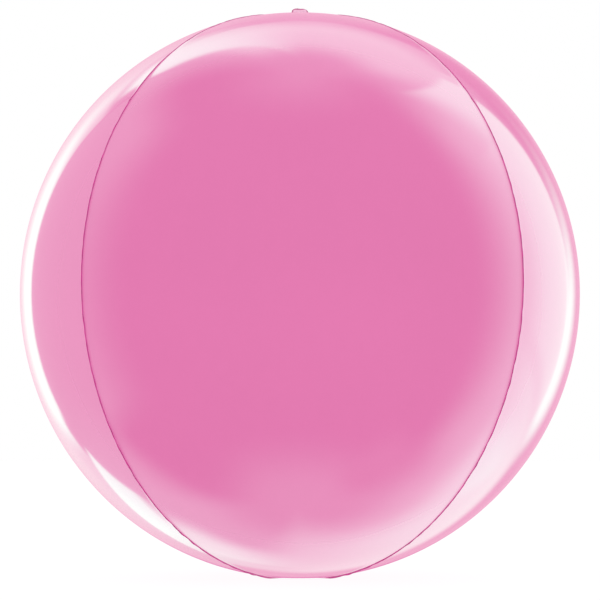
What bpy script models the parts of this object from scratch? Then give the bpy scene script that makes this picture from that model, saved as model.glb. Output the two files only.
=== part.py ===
"""Orb foil balloon: a ball of four film panels welded edge to edge, with a flat filling neck on top.

The ball is sealed and full of gas, so each panel is a solid quarter of it. Run it with
blender --background --python part.py, or from the text editor. Metres, +Z up, standing on z = 0.
"""

import math

import bmesh
import bpy
from mathutils import Vector

# The ball, blown up tight.
BODY_WIDTH = 0.400  # across the middles of two opposite panels, at the widest section
TOP_RISE = 0.2014  # from the widest section up to the round top pole
BASE_DROP = 0.2032  # from the widest section down to the round bottom pole
SEAM_RISE = 0.0035  # how much further out a seam lies than a panel's middle, at the widest section
REST_FLAT = 0.036  # width of the flat spot that the ball stands on

# The weld along each seam stands out as a low fin, half of it on each panel.
WELD_HEIGHT = 0.0012
WELD_FILM = 0.00025  # thickness of one panel's half of the fin
SEAM_GAP = 0.0003  # clearance between the two halves

# The filling neck: a flat tail of film with round top corners and a foot that spreads.
NECK_WIDTH = 0.0120
NECK_HEIGHT = 0.0069
NECK_THICKNESS = 0.0012
NECK_CORNER = 0.0028  # radius of its top corners
FOOT_SPREAD = 0.0024  # how far the foot runs out on each side, and the radius of that curve
NECK_CLEARANCE = 0.0003  # between the foot and the crown
CROWN_MARGIN = 0.0004  # how far the flat spot on the crown runs out past the foot

# How finely the round shapes are divided.
PANEL_STEPS = 18  # across one panel, at any height
RING_STEPS = 36  # from pole to pole
CORNER_STEPS = 6  # round each of the neck's corners

PANELS = {"front_panel": -90, "right_panel": 0, "back_panel": 90, "left_panel": 180}  # degrees from +X
PANEL_SPAN = 2 * math.pi / len(PANELS)

HALF_WIDTH = BODY_WIDTH / 2
SEAM_RADIUS = HALF_WIDTH + SEAM_RISE
CROWN_FLAT = NECK_WIDTH + 2 * (FOOT_SPREAD + CROWN_MARGIN)


def height_at(width, pole):
    """How far from the widest section, towards a pole that far away, the ball is still this wide."""
    return pole * math.sqrt(1 - (width / BODY_WIDTH) ** 2)


WIDEST_Z = height_at(REST_FLAT, BASE_DROP)
CROWN_Z = WIDEST_Z + height_at(CROWN_FLAT, TOP_RISE)


def pole_distance(above):
    return TOP_RISE if above > 0 else BASE_DROP


def clear_scene():
    for obj in list(bpy.data.objects):
        bpy.data.objects.remove(obj)


def new_collection(name):
    collection = bpy.data.collections.new(name)
    bpy.context.scene.collection.children.link(collection)
    return collection


def film_material(name, color, roughness):
    """Metallised film: a tinted mirror with a slight haze."""
    material = bpy.data.materials.new(name)
    material.use_nodes = True
    shader = material.node_tree.nodes["Principled BSDF"]
    shader.inputs["Base Color"].default_value = (*color, 1)
    shader.inputs["Metallic"].default_value = 0.85
    shader.inputs["Roughness"].default_value = roughness
    material.diffuse_color = (*color, 1)
    return material


def film_radius(turn):
    """The film's distance from the axis at the widest section, in the direction turn.

    Each panel's section there is one arc through its middle and its two seams. The arc is flatter
    than the ball, so its own centre lies on the far side of the axis.
    """
    half_span = PANEL_SPAN / 2
    off_middle = (turn + half_span) % PANEL_SPAN - half_span
    far = (SEAM_RADIUS**2 - HALF_WIDTH**2) / (2 * (HALF_WIDTH - SEAM_RADIUS * math.cos(half_span)))
    reach = math.sqrt((HALF_WIDTH + far) ** 2 - (far * math.sin(off_middle)) ** 2)
    return reach - far * math.cos(off_middle)


def whole_ball():
    """The four panels' film as one closed skin, smooth shaded, with its poles still round."""
    ball = bmesh.new()
    bmesh.ops.create_uvsphere(ball, u_segments=len(PANELS) * PANEL_STEPS, v_segments=RING_STEPS, radius=1)
    for vert in ball.verts:
        radius = film_radius(math.atan2(vert.co.y, vert.co.x))
        height = WIDEST_Z + vert.co.z * pole_distance(vert.co.z)
        vert.co = (vert.co.x * radius, vert.co.y * radius, height)
    for face in ball.faces:
        face.smooth = True
    return ball


def split(mesh, point, normal, clear=False):
    """Splits the mesh at a plane or, with clear, cuts off what lies past it and closes the cut."""
    everything = mesh.verts[:] + mesh.edges[:] + mesh.faces[:]
    bmesh.ops.bisect_plane(mesh, geom=everything, plane_co=point, plane_no=normal, clear_outer=clear)
    if clear:
        open_edges = [edge for edge in mesh.edges if edge.is_boundary]
        for face in bmesh.ops.holes_fill(mesh, edges=open_edges)["faces"]:
            face.smooth = False


def raise_weld(mesh, seam_way, outward):
    """Raises the film beside one seam into half of a weld fin. Only film is smooth shaded."""
    inner = -(SEAM_GAP / 2 + WELD_FILM)
    split(mesh, outward * inner, outward)
    strip = [face for face in mesh.faces if face.smooth and face.calc_center_median().dot(outward) > inner]
    raised = bmesh.ops.extrude_face_region(mesh, geom=strip)["geom"]
    bmesh.ops.delete(mesh, geom=strip, context="FACES_ONLY")
    for vert in [item for item in raised if isinstance(item, bmesh.types.BMVert)]:
        above = vert.co.z - WIDEST_Z
        slope = seam_way * (vert.co.dot(seam_way) / SEAM_RADIUS**2)
        slope.z = above / pole_distance(above) ** 2
        vert.co += slope.normalized() * WELD_HEIGHT


def add_object(name, mesh, material, collection):
    mesh.materials.append(material)
    obj = bpy.data.objects.new(name, mesh)
    collection.objects.link(obj)
    return obj


def add_panel(name, middle, collection):
    """One panel: the quarter of the ball between two seams, with its half of both welds."""
    body = whole_ball()
    welds = []
    for side in (-1, 1):
        seam = middle + side * PANEL_SPAN / 2
        seam_way = Vector((math.cos(seam), math.sin(seam), 0))
        outward = side * Vector((-math.sin(seam), math.cos(seam), 0))
        welds.append((seam_way, outward))
        split(body, -outward * SEAM_GAP / 2, outward, clear=True)
    for seam_way, outward in welds:
        raise_weld(body, seam_way, outward)
    split(body, Vector((0, 0, 0)), Vector((0, 0, -1)), clear=True)
    split(body, Vector((0, 0, CROWN_Z)), Vector((0, 0, 1)), clear=True)
    bmesh.ops.recalc_face_normals(body, faces=body.faces)
    mesh = bpy.data.meshes.new(name)
    body.to_mesh(mesh)
    body.free()
    add_object(name, mesh, film_material(name + "_foil", (0.745, 0.190, 0.429), 0.14), collection)


def arc(centre, radius, start, end):
    """Points on an arc in the neck's own plane, angles in degrees."""
    turns = [math.radians(start + (end - start) * step / CORNER_STEPS) for step in range(CORNER_STEPS + 1)]
    return [(centre[0] + radius * math.cos(turn), centre[1] + radius * math.sin(turn)) for turn in turns]


def add_neck(collection):
    """The filling neck, a flat outline with its foot on the crown, drawn facing the front."""
    half = NECK_WIDTH / 2
    right = arc((half + FOOT_SPREAD, FOOT_SPREAD), FOOT_SPREAD, 270, 180)
    right += arc((half - NECK_CORNER, NECK_HEIGHT - NECK_CORNER), NECK_CORNER, 0, 90)
    outline = right + [(-x, z) for x, z in reversed(right)]
    curve = bpy.data.curves.new("filling_neck", "CURVE")
    curve.dimensions = "2D"
    curve.fill_mode = "BOTH"
    curve.extrude = NECK_THICKNESS / 2
    edge = curve.splines.new("POLY")
    edge.points.add(len(outline) - 1)
    edge.use_cyclic_u = True
    for point, (x, z) in zip(edge.points, outline):
        point.co = (x, z, 0, 1)
    neck = add_object("filling_neck", curve, film_material("neck_foil", (0.760, 0.240, 0.470), 0.2), collection)
    neck.location = (0, 0, CROWN_Z + NECK_CLEARANCE)
    neck.rotation_euler = (math.pi / 2, 0, 0)


clear_scene()
balloon = new_collection("orb_foil_balloon")
for panel_name, degrees in PANELS.items():
    add_panel(panel_name, math.radians(degrees), balloon)
add_neck(balloon)
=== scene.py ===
import math

import bpy
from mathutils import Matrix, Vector, noise


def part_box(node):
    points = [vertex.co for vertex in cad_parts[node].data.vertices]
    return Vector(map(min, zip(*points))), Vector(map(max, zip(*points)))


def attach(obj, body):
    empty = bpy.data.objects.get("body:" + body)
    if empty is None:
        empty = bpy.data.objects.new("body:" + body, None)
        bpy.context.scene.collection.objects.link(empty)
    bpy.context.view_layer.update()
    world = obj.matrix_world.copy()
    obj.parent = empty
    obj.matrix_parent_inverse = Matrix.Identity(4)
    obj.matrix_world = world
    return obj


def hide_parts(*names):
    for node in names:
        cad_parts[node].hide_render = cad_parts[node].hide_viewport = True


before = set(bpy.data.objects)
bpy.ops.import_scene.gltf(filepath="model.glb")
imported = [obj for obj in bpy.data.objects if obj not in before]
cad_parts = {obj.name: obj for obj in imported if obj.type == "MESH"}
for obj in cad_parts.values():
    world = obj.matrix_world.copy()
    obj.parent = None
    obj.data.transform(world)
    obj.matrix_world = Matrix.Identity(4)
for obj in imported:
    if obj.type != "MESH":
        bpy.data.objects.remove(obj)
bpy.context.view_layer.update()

# The ball is four petals of thin metallised film, welded edge to edge and blown up tight. Across
# the middle a petal is a little flatter than the ball, so the seams stand out as low ridges. The
# lowest film lies flat on whatever the balloon stands on, and the highest is gathered at the neck.
TOP_RISE = 0.2014  # from the widest section up to the round top pole
BASE_DROP = 0.2032  # from the widest section down to the round bottom pole
SEAM_RISE = 0.0035  # how much further out a seam lies than a petal's middle
REST_FLAT = 0.036  # width of the flat spot
HALF_SPAN = math.pi / 4  # half the turn that each of the four petals takes up
FILM = 0.0002
PETAL_STEPS = 64
RING_STEPS = 192
POLE_REACH = 0.0001  # nearer the axis than this, as a share of the ball, a point has no turn
LIP_RISE = 0.0003  # how far the film turns up where it runs into a weld
LIP_WIDTH = 0.0009
PLEATS = 11  # in each petal, at each pole
PLEAT_DEPTH = 0.0003
PLEAT_REACH = 0.034  # how far from the axis the pleats begin
PLEAT_EVEN = 0.75  # the share of the depth that every pleat has
PLEAT_UNEVEN = 0.9  # how much the depth varies from pleat to pleat
PLEAT_CHANGE = 3  # how fast it varies across the petal
half_width = -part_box("front_panel")[0].y
crown_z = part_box("front_panel")[1].z
seam_radius = half_width + SEAM_RISE
widest_z = BASE_DROP * math.sqrt(1 - (REST_FLAT / 2 / half_width) ** 2)


def film_radius(turn):
    """The film's distance from the axis at the widest section; turn is from a petal's middle."""
    # A petal is one arc there, and this is how far beyond the axis the arc's centre lies.
    far = (seam_radius**2 - half_width**2) / (2 * (half_width - seam_radius * math.cos(HALF_SPAN)))
    return math.sqrt((half_width + far) ** 2 - (far * math.sin(turn)) ** 2) - far * math.cos(turn)


def on_film(unit, turn):
    """Puts a point of a unit ball on the film, without what the floor and the neck do to it."""
    radius = film_radius(turn)
    rise = TOP_RISE if unit.z > 0 else BASE_DROP
    return Vector((unit.x * radius, unit.y * radius, widest_z + unit.z * rise))


def add_node(tree, kind, inputs=None, **settings):
    """Adds a node; inputs gives a value or another node's output for an input's name or number."""
    node = tree.nodes.new(kind)
    for name, value in settings.items():
        setattr(node, name, value)
    for socket, value in (inputs or {}).items():
        if isinstance(value, bpy.types.NodeSocket):
            tree.links.new(value, node.inputs[socket])
        else:
            node.inputs[socket].default_value = value
    return node


def math_node(tree, operation, *values):
    return add_node(tree, "ShaderNodeMath", dict(enumerate(values)), operation=operation).outputs[0]


def noise_node(tree, place, scale, detail):
    inputs = {"Vector": place, "Scale": scale, "Detail": detail}
    return add_node(tree, "ShaderNodeTexNoise", inputs).outputs["Fac"]


def off_middle(tree, value):
    """A noise's value, with its middle at 0."""
    return math_node(tree, "SUBTRACT", value, 0.5)


STREAK_SCALE = 22.0
STREAK_RISE = 4.0  # how much of the streaks' noise one metre of height passes through
CLOUD_SCALE = 9.0
CLOUD_SHADE = 0.06
STREAK_SHADE = 0.25
GRAIN_HAZE = 0.08
GRAIN_RELIEF = 0.15
RELIEF_DEPTH = 0.0002
GLOSS_IOR = 3.0  # far above a clear film's, because metallised film mirrors more


def pearl_film_group():
    """The film's unevenness: faint spots drawn into streaks near the poles, clouds and a fine grain."""
    tree = bpy.data.node_groups.new("pearl_film", "ShaderNodeTree")
    tree.interface.new_socket("Tint", in_out="INPUT", socket_type="NodeSocketColor")
    for name in ("Streaks", "Haze", "Mottle", "Grain Scale"):
        tree.interface.new_socket(name, in_out="INPUT", socket_type="NodeSocketFloat")
    tree.interface.new_socket("Color", in_out="OUTPUT", socket_type="NodeSocketColor")
    for name in ("Roughness", "Height"):
        tree.interface.new_socket(name, in_out="OUTPUT", socket_type="NodeSocketFloat")
    given = add_node(tree, "NodeGroupInput").outputs
    place = add_node(tree, "ShaderNodeTexCoord").outputs["Object"]
    across = add_node(tree, "ShaderNodeVectorMath", {0: place, 1: (1, 1, 0)}, operation="MULTIPLY")
    way = add_node(tree, "ShaderNodeVectorMath", {0: across.outputs[0]}, operation="NORMALIZE")
    slow = add_node(tree, "ShaderNodeVectorMath", {0: place, 1: (0, 0, STREAK_RISE)}, operation="MULTIPLY")
    along = add_node(tree, "ShaderNodeVectorMath", {0: way.outputs[0], 1: slow.outputs[0]}, operation="ADD")
    streak = noise_node(tree, along.outputs[0], STREAK_SCALE, 3.0)
    cloud = noise_node(tree, place, CLOUD_SCALE, 2.0)
    grain = noise_node(tree, place, given["Grain Scale"], 2.0)
    streak = math_node(tree, "MULTIPLY", off_middle(tree, streak), given["Streaks"])
    shade = math_node(tree, "MULTIPLY_ADD", off_middle(tree, cloud), CLOUD_SHADE, 1.0)
    shade = math_node(tree, "ADD", shade, math_node(tree, "MULTIPLY", streak, STREAK_SHADE))
    shade = math_node(tree, "MULTIPLY_ADD", off_middle(tree, grain), given["Mottle"], shade)
    colour = add_node(tree, "ShaderNodeVectorMath", {0: given["Tint"], 3: shade}, operation="SCALE")
    rough = math_node(tree, "MULTIPLY_ADD", off_middle(tree, grain), GRAIN_HAZE, given["Haze"])
    height = math_node(tree, "MULTIPLY_ADD", grain, GRAIN_RELIEF, streak)
    outputs = {"Color": colour.outputs[0], "Roughness": rough, "Height": height}
    add_node(tree, "NodeGroupOutput", outputs)
    return tree


pearl_film = pearl_film_group()


def film_material(name, tint, metallic, haze, streaks, mottle, grain, bump, gloss, gloss_haze):
    """A clear gloss over pearly metallised film, with the film's own unevenness under the gloss."""
    material = bpy.data.materials.new(name)
    material.use_nodes = True
    material.diffuse_color = (*tint, 1)
    tree = material.node_tree
    shader = tree.nodes["Principled BSDF"]
    film = {
        "Tint": (*tint, 1),
        "Streaks": streaks,
        "Haze": haze,
        "Mottle": mottle,
        "Grain Scale": 1 / grain,
    }
    surface = add_node(tree, "ShaderNodeGroup", film, node_tree=pearl_film)
    bumps = {"Strength": bump, "Distance": RELIEF_DEPTH, "Height": surface.outputs["Height"]}
    relief = add_node(tree, "ShaderNodeBump", bumps)
    tree.links.new(surface.outputs["Color"], shader.inputs["Base Color"])
    tree.links.new(surface.outputs["Roughness"], shader.inputs["Roughness"])
    tree.links.new(relief.outputs["Normal"], shader.inputs["Normal"])
    shader.inputs["Metallic"].default_value = metallic
    shader.inputs["Coat Weight"].default_value = gloss
    shader.inputs["Coat IOR"].default_value = GLOSS_IOR
    shader.inputs["Coat Roughness"].default_value = gloss_haze
    return material


def select_only(piece):
    bpy.ops.object.select_all(action="DESELECT")
    piece.select_set(True)
    bpy.context.view_layer.objects.active = piece


def give_thickness(sheet, thickness, offset=0.0, share_group=""):
    """Turns a sheet into a thin solid about its middle, or all inside it where offset is -1."""
    select_only(sheet)
    solid = sheet.modifiers.new("film", "SOLIDIFY")
    solid.thickness = thickness
    solid.offset = offset
    solid.vertex_group = share_group
    bpy.ops.object.modifier_apply(modifier="film")


def turned_copy(piece, degrees):
    """A copy of a piece with its own mesh, turned about the ball's axis."""
    select_only(piece)
    bpy.ops.object.duplicate()
    copy = bpy.context.object
    copy.rotation_euler.z = math.radians(degrees)
    bpy.ops.object.transform_apply(rotation=True)
    return copy


def finish_piece(piece, name, material, smooth_angle=30):
    piece.name = piece.data.name = name
    piece.data.materials.append(material)
    select_only(piece)
    bpy.ops.object.shade_smooth_by_angle(angle=math.radians(smooth_angle))
    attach(piece, "root")


petal_film = film_material(
    "petal_film",
    tint=(0.76, 0.25, 0.51),
    metallic=0.5,
    haze=0.14,
    streaks=0.12,
    mottle=0.03,
    grain=0.0014,
    bump=0.03,
    gloss=1.0,
    gloss_haze=0.02,
)
bpy.ops.object.select_all(action="DESELECT")
bpy.ops.mesh.primitive_uv_sphere_add(segments=4 * PETAL_STEPS, ring_count=RING_STEPS, radius=1)
petal = bpy.context.object
bpy.ops.object.mode_set(mode="EDIT")
for side in (-1, 1):
    bpy.ops.mesh.select_all(action="SELECT")
    bpy.ops.mesh.bisect(plane_co=(0, 0, 0), plane_no=(side, 1, 0), clear_outer=True)
bpy.ops.object.mode_set(mode="OBJECT")
for vert in petal.data.vertices:
    around = vert.co.to_2d().length
    even_turn = math.atan2(vert.co.x, -vert.co.y) if around > POLE_REACH else 0.0
    turn = math.sin(2 * even_turn) * HALF_SPAN  # sets the columns closer beside the seams
    unit = Vector((math.sin(turn) * around, -math.cos(turn) * around, vert.co.z))
    place = on_film(unit, turn)
    to_seam = (abs(place.y) - abs(place.x)) / math.sqrt(2)
    place += unit * LIP_RISE * math.exp(-to_seam / LIP_WIDTH)
    gathered = max(0.0, 1 - place.to_2d().length / PLEAT_REACH) ** 2
    vary = noise.noise(Vector((PLEAT_CHANGE * math.sin(turn), PLEAT_CHANGE * math.cos(turn), 0)))
    depth = PLEAT_DEPTH * (PLEAT_EVEN + PLEAT_UNEVEN * vary)
    place.z -= unit.z * depth * gathered * (1 + math.cos(4 * PLEATS * even_turn)) / 2
    place.z = min(max(place.z, 0.0), crown_z)
    vert.co = place
give_thickness(petal, FILM, offset=-1)

PETALS = {"front_panel": 0, "right_panel": 90, "back_panel": 180, "left_panel": 270}
for node, degrees in PETALS.items():
    copy = turned_copy(petal, degrees)
    finish_piece(copy, node.replace("panel", "petal"), petal_film)
    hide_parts(node)
bpy.data.objects.remove(petal)


# Each seam is a weld: the two films' edges are pressed together under heat and stand out as one
# narrow fin. The heat leaves it darker and slightly wavy, and it spreads where it nears the base.
WELD_HEIGHT = 0.0006
WELD_TAPER = 0.4  # the share of its height that it loses on the way to the top
WELD_SPREAD = 1.3  # the share of its height that it gains at the base
SPREAD_POWER = 16  # a high power, so that only the lowest part spreads
WELD_ROOT = 0.0004  # how far it reaches in under the film
WELD_THICKNESS = 0.00025
WELD_WAVE = 0.0005  # how far it sways to either side, over WAVE_LENGTH
WAVE_LENGTH = 0.009
WELD_RIPPLE = 0.5  # how much its height varies, over RIPPLE_LENGTH
RIPPLE_LENGTH = 0.006
RIPPLE_SHIFT = 3  # reads the noise elsewhere, so that the ripple doesn't follow the wave
WELD_TOP_END = 0.006  # from the axis, as a share of the ball's radius: it ends inside the neck's foot
WELD_STEPS = 900
weld_film = film_material(
    "weld_film",
    tint=(0.56, 0.015, 0.29),
    metallic=0.3,
    haze=0.4,
    streaks=0.1,
    mottle=1.2,
    grain=0.005,
    bump=0.1,
    gloss=0.55,
    gloss_haze=0.3,
)
bpy.ops.object.select_all(action="DESELECT")
bpy.ops.mesh.primitive_circle_add(vertices=WELD_STEPS, radius=1, rotation=(math.pi / 2, 0, 0))
weld = bpy.context.object
bpy.ops.object.transform_apply(rotation=True)
bpy.ops.object.mode_set(mode="EDIT")
bpy.ops.mesh.select_all(action="SELECT")
bpy.ops.mesh.bisect(plane_co=(WELD_TOP_END, 0, 0), plane_no=(-1, 0, 0), clear_outer=True)
bpy.ops.mesh.select_all(action="SELECT")
bpy.ops.mesh.bisect(plane_co=(0, 0, -widest_z / BASE_DROP), plane_no=(0, 0, -1), clear_outer=True)
bpy.ops.mesh.select_all(action="SELECT")
bpy.ops.mesh.extrude_edges_move()
bpy.ops.object.mode_set(mode="OBJECT")
for vert in weld.data.vertices:
    unit = vert.co.copy()
    rise = TOP_RISE if unit.z > 0 else BASE_DROP
    outward = Vector((unit.x / seam_radius, 0, unit.z / rise)).normalized()
    along = math.asin(unit.z) * half_width
    sway = noise.noise(Vector((0, 0, along / WAVE_LENGTH))) * WELD_WAVE
    ripple = noise.noise(Vector((RIPPLE_SHIFT, 0, along / RIPPLE_LENGTH))) * WELD_RIPPLE
    change = WELD_SPREAD * max(-unit.z, 0.0) ** SPREAD_POWER - WELD_TAPER * max(unit.z, 0.0) ** 2
    height = WELD_HEIGHT * (1 + change) * (1 + ripple)
    # Extruding has left the fin's outer edge selected.
    lift = height + LIP_RISE if vert.select else -WELD_ROOT
    vert.co = Vector((unit.x * seam_radius, sway, widest_z + unit.z * rise)) + outward * lift
    vert.co.z = max(vert.co.z, 0.0)
give_thickness(weld, WELD_THICKNESS)
for vert in weld.data.vertices:
    vert.co.z = max(vert.co.z, 0.0)
weld.visible_glossy = False  # the film beside it doesn't mirror it, or its thin line would double

WELDS = {"front_right_weld": -45, "back_right_weld": 45, "back_left_weld": 135, "front_left_weld": 225}
for name, degrees in WELDS.items():
    finish_piece(turned_copy(weld, degrees), name, weld_film)
bpy.data.objects.remove(weld)


# The filling neck is a short tail of two film layers, welded along their sides and open between
# for the filling nozzle. It is pinched where it leaves the crown and spreads into the petals.
neck_low, neck_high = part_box("filling_neck")
NECK_WIDTH = 0.0120
NECK_CORNER = 0.0028
FOOT_SPREAD = 0.0024  # radius of the curve in which its sides run out into the petals
NECK_COLUMNS = 48
NECK_ROWS = 40
NECK_RIM = 0.0013  # width of the welded margin
NECK_SLOPE = 0.07  # how much lower the top is at its right corner, as a share of the height
CREASE_DEPTH = 0.0002
CREASE_SPAN = 9  # radians of the creases' wave from the neck's middle to either side
CREASE_LEAN = 2  # radians of the same wave from the foot to the top
CREASE_FADE = 0.7  # the share of a crease that is gone at the top
RIM_SHARE = 0.3  # the pillow's thickness at its very edge, as a share of the neck's
MARGIN_SHARE = 0.75  # the welded margin's thickness, likewise
GATHER_HEIGHT = 0.0035  # how far up the gathered foot reaches
GATHER_SPREAD = 0.0014  # how far it bulges to the front and to the back
neck_height = neck_high.z - crown_z
neck_thickness = neck_high.y - neck_low.y
# Its pale tint is partly the tail's own paler film and partly a painted highlight on its middle.
neck_film = film_material(
    "neck_film",
    tint=(0.97, 0.76, 0.87),
    metallic=0.1,
    haze=0.3,
    streaks=0.3,
    mottle=0.5,
    grain=0.003,
    bump=0.3,
    gloss=1.0,
    gloss_haze=0.08,
)
# Its dark colour is partly the welded margin's own, dark as the seams are, and partly painted shade along
# the tail's sides and top.
neck_weld_and_shade_film = film_material(
    "neck_weld_and_shade_film",
    tint=(0.5, 0.03, 0.24),
    metallic=0.3,
    haze=0.4,
    streaks=0.2,
    mottle=0.9,
    grain=0.003,
    bump=0.2,
    gloss=0.3,
    gloss_haze=0.3,
)


def neck_half_width(height):
    """Half the neck's width at a height above the crown, with its round corners and spread foot."""
    half = NECK_WIDTH / 2
    if height < FOOT_SPREAD:
        return half + FOOT_SPREAD - math.sqrt(FOOT_SPREAD**2 - (FOOT_SPREAD - height) ** 2)
    above = max(0.0, height - (neck_height - NECK_CORNER))
    return half - NECK_CORNER + math.sqrt(max(0.0, NECK_CORNER**2 - above**2))


def from_neck_rim(place):
    """How far inside the neck's sides and top a point lies."""
    height = place.z - crown_z
    return min(neck_half_width(height) - abs(place.x), neck_height - height)


bpy.ops.object.select_all(action="DESELECT")
bpy.ops.mesh.primitive_grid_add(
    x_subdivisions=NECK_COLUMNS, y_subdivisions=NECK_ROWS, size=2, rotation=(math.pi / 2, 0, 0)
)
neck = bpy.context.object
bpy.ops.object.transform_apply(rotation=True)
pillow = neck.vertex_groups.new(name="pillow")
for vert in neck.data.vertices:
    across = vert.co.x
    up = (vert.co.z + 1) / 2
    half = neck_half_width(neck_height * up)
    crease = CREASE_DEPTH * math.sin(CREASE_SPAN * across + CREASE_LEAN * up) * (1 - CREASE_FADE * up)
    slope = 1 - NECK_SLOPE * max(across, 0.0) * up
    vert.co = Vector((across * half, crease, crown_z + neck_height * up * slope))
    full = min(1.0, from_neck_rim(vert.co) / NECK_RIM)
    share = RIM_SHARE + (1 - RIM_SHARE) * full * full * (3 - 2 * full)
    foot = max(0.0, 1 - neck_height * up / GATHER_HEIGHT) ** 2
    thickness = neck_thickness * share + 2 * GATHER_SPREAD * foot * full
    pillow.add([vert.index], thickness / (neck_thickness + 2 * GATHER_SPREAD), "REPLACE")
# The faces of the margin along the sides and top are split off to take the dark colour, partly weld and
# partly painted shade.
for face in neck.data.polygons:
    face.select = from_neck_rim(face.center) < NECK_RIM
bpy.ops.object.mode_set(mode="EDIT")
bpy.ops.mesh.duplicate()
bpy.ops.mesh.separate(type="SELECTED")
bpy.ops.object.mode_set(mode="OBJECT")
neck_weld_and_shade = next(piece for piece in bpy.context.selected_objects if piece != neck)
give_thickness(neck, neck_thickness + 2 * GATHER_SPREAD, share_group="pillow")
neck.vertex_groups.clear()
finish_piece(neck, "filling_tail", neck_film, smooth_angle=60)
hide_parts("filling_neck")

neck_weld_and_shade.vertex_groups.clear()
give_thickness(neck_weld_and_shade, neck_thickness * MARGIN_SHARE)
finish_piece(neck_weld_and_shade, "filling_tail_weld_and_shade", neck_weld_and_shade_film, smooth_angle=60)


# The floor is a wide sheet of matt paper. Its glow keeps it as pale and even as the photograph's
# ground. The film mirrors the studio's cards below the horizon in its place.
FLOOR_SIZE = 60
FLOOR_GREY = 0.1  # dark under its glow, so that the ball's shadow stays faint
FLOOR_GLOW = 0.93
bpy.ops.object.select_all(action="DESELECT")
bpy.ops.mesh.primitive_plane_add(size=FLOOR_SIZE)
floor = bpy.context.object
floor.name = "floor"
floor.visible_glossy = False
floor_paper = bpy.data.materials.new("floor_paper")
floor_paper.use_nodes = True
paper = floor_paper.node_tree.nodes["Principled BSDF"]
paper.inputs["Base Color"].default_value = (FLOOR_GREY, FLOOR_GREY, FLOOR_GREY, 1)
paper.inputs["Roughness"].default_value = 0.9
paper.inputs["Specular IOR Level"].default_value = 0.0
paper.inputs["Emission Color"].default_value = (1, 1, 1, 1)
paper.inputs["Emission Strength"].default_value = FLOOR_GLOW
floor.data.materials.append(floor_paper)


# The studio gives an even white light from all sides. The gloss mirrors a pink room with cards of
# light beside, behind, above and below the ball. A card's place is in degrees of turn from straight
# behind the ball to the right, and in degrees of rise above the horizon.
ROOM_LIGHT = 1.2
BACKDROP_LIGHT = 1.0
PINK = (0.84, 0.27, 0.51)
WHITE = (1.18, 1.78, 1.44)
SOFT_WHITE = (1.16, 1.62, 1.34)
PALE = (1.15, 1.4, 1.22)
PALE_PINK = (1.07, 0.99, 0.98)
LIGHT_PINK = (0.98, 0.66, 0.78)
PALE_ROSE = (0.95, 0.56, 0.71)
ROSE = (0.93, 0.5, 0.67)
FAINT_ROSE = (0.88, 0.36, 0.57)
DEEP_PINK = (0.79, 0.24, 0.49)
CARD_EDGES = ("Left Out", "Left In", "Right In", "Right Out", "Low Out", "Low In", "High In", "High Out")
CARDS = [  # name, its edges in turn, its edges in rise, how far those sink per degree of turn, its light
    ("overhead", (-200, -190, 190, 200), (64, 100, 110, 120), 0, ROSE),
    ("underfoot", (-200, -190, 190, 200), (-120, -110, -86, -56), 0, ROSE),
    ("left_side", (-114, -76, -40, -39), (-72, -34, 44, 62), 0, PALE_ROSE),
    ("low_left_shade", (-140, -100, -84, -64), (-80, -56, -42, -28), 0, PINK),
    ("right_side", (39, 40, 74, 114), (-68, -38, 42, 76), 0, PALE_PINK),
    ("ceiling", (-65, -20, 50, 100), (38, 40, 58, 95), 0, LIGHT_PINK),
    ("top_bank", (-34, -20, 46, 70), (40, 52, 62, 76), 0, PALE_PINK),
    ("high_left", (-39, -35, -32, 4), (42, 49, 74, 81), -0.8, SOFT_WHITE),
    ("low_glow", (70, 100, 114, 142), (-80, -70, -62, -46), 0, FAINT_ROSE),
    ("ground", (-76, -50, 62, 106), (-84, -58, -36, -12), 0, LIGHT_PINK),
    ("back", (-40, -38, 39, 41), (-41, -39, 39, 41), 0, ROSE),
    ("dark_corner", (4, 20, 34, 41), (18, 34, 43, 50), 0.4, FAINT_ROSE),
    ("right_wall", (38, 42, 58, 83), (-77, -63, 28, 31), -0.45, PALE),
    ("wall_corner", (36, 38, 41, 44), (41, 43, 50, 54), 0, PALE_PINK),
    ("right_window", (24, 39, 41, 43), (1, 25, 36, 60), 1, WHITE),
    ("low_middle", (-16, 4, 60, 88), (-86, -54, -31, -22), -0.25, PALE_PINK),
    ("low_right", (-6, 40, 56, 86), (-73, -52, -32, -24), -0.25, PALE),
    ("right_foot", (34, 44, 52, 66), (-42, -34, -30, -20), 0, SOFT_WHITE),
    ("left_wall", (-39, -38, -27, 0), (-29, -27, 30, 34), 0, PALE_PINK),
    ("upper_pane", (-36, -32, -28, -4), (31, 37, 40, 41), 0, SOFT_WHITE),
    ("left_window", (-40, -36, -35, -19), (6, 15, 42, 59), -0.8, WHITE),
    ("left_corner", (-43, -41, -37, -34), (-22, -20, -16, -12), 0, PALE_ROSE),
    ("low_left", (-40, -37, -24, 2), (-46, -40, -30, -28), 0.2, WHITE),
    ("low_left_haze", (-42, -24, -18, 6), (-55, -43, -37, -34), 0, PALE),
    ("floor_edge", (-9, 0, 2, 11), (-18, -10, -6, 6), 0, DEEP_PINK),
]


def card_group():
    """One card's mask: 1 on the card and 0 off it, with each edge fading from its In to its Out."""
    tree = bpy.data.node_groups.new("studio_card", "ShaderNodeTree")
    for name in ("Turn", "Rise", *CARD_EDGES):
        tree.interface.new_socket(name, in_out="INPUT", socket_type="NodeSocketFloat")
    tree.interface.new_socket("Mask", in_out="OUTPUT", socket_type="NodeSocketFloat")
    given = add_node(tree, "NodeGroupInput").outputs
    mask = 1.0
    for along, edge in (("Turn", "Left"), ("Turn", "Right"), ("Rise", "Low"), ("Rise", "High")):
        ends = {
            "Value": given[along],
            "From Min": given[edge + " Out"],
            "From Max": given[edge + " In"],
        }
        fade = add_node(tree, "ShaderNodeMapRange", ends, interpolation_type="SMOOTHSTEP")
        mask = math_node(tree, "MULTIPLY", mask, fade.outputs["Result"])
    add_node(tree, "NodeGroupOutput", {"Mask": mask})
    return tree


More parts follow.
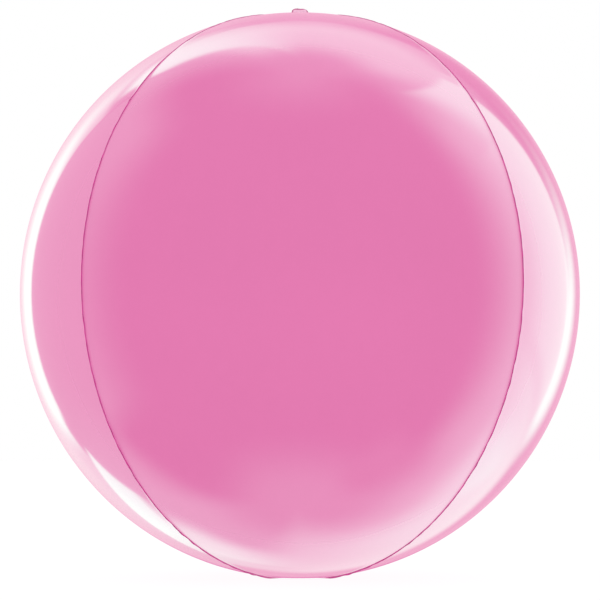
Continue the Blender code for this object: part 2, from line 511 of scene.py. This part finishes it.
def laid_over(tree, mask, below, light):
    """The mirrored colour below a card, with the card's light laid over it where its mask is 1."""
    inputs = {0: mask, 6: below, 7: (*light, 1)}
    return add_node(tree, "ShaderNodeMix", inputs, data_type="RGBA").outputs[2]


def white_light(tree, strength):
    return add_node(tree, "ShaderNodeBackground", {"Color": (1, 1, 1, 1), "Strength": strength}).outputs[0]


def for_rays(tree, kind, others, these):
    """Shows one shader to rays of a kind and another to all other rays."""
    return add_node(tree, "ShaderNodeMixShader", {0: kind, 1: others, 2: these}).outputs[0]


studio = bpy.data.worlds.new("studio")
bpy.context.scene.world = studio
studio.use_nodes = True
studio.cycles.sampling_method = "NONE"
tree = studio.node_tree
tree.nodes.clear()
looking = add_node(tree, "ShaderNodeTexCoord").outputs["Generated"]
way = add_node(tree, "ShaderNodeSeparateXYZ", {0: looking}).outputs
turn = math_node(tree, "DEGREES", math_node(tree, "ARCTAN2", way["X"], way["Y"]))
rise = math_node(tree, "DEGREES", math_node(tree, "ARCSINE", way["Z"]))
card = card_group()
mirrored = (*PINK, 1)
for name, turn_edges, rise_edges, sink, light in CARDS:
    place = {"Turn": turn, "Rise": math_node(tree, "MULTIPLY_ADD", turn, sink, rise)}
    place.update(zip(CARD_EDGES, turn_edges + rise_edges))
    mask = add_node(tree, "ShaderNodeGroup", place, node_tree=card, name=name)
    mirrored = laid_over(tree, mask.outputs["Mask"], mirrored, light)
ray = add_node(tree, "ShaderNodeLightPath").outputs
gloss = add_node(tree, "ShaderNodeBackground", {"Color": mirrored, "Strength": 1.0}).outputs[0]
lit = for_rays(tree, ray["Is Glossy Ray"], white_light(tree, ROOM_LIGHT), gloss)
shown = for_rays(tree, ray["Is Camera Ray"], lit, white_light(tree, BACKDROP_LIGHT))
add_node(tree, "ShaderNodeOutputWorld", {"Surface": shown})


# The camera stands a little below the widest section and a little to the left, and looks slightly
# up, as in the photograph. From that far off, the two side petals show as narrow crescents.
CAMERA_DISTANCE = 1.527
CAMERA_SINKS = math.radians(4.37)
CAMERA_TURNS = math.radians(0.76)
LENS = 127.1
AIM_RIGHT = 0.0001  # it looks this far beside the middle of the widest section
AIM_DROP = 0.0042  # and this far below it
aim = Vector((AIM_RIGHT, 0, widest_z - AIM_DROP))
back = Vector((-math.sin(CAMERA_TURNS), -math.cos(CAMERA_TURNS), 0)) * math.cos(CAMERA_SINKS)
back.z = -math.sin(CAMERA_SINKS)
camera_place = Vector((0, 0, widest_z)) + CAMERA_DISTANCE * back
bpy.ops.object.camera_add(location=camera_place)
camera = bpy.context.object
camera.name = "camera"
camera.data.lens = LENS
camera.rotation_euler = (aim - camera_place).to_track_quat("-Z", "Y").to_euler()
bpy.context.scene.camera = camera
bpy.context.scene.view_settings.view_transform = "Standard"
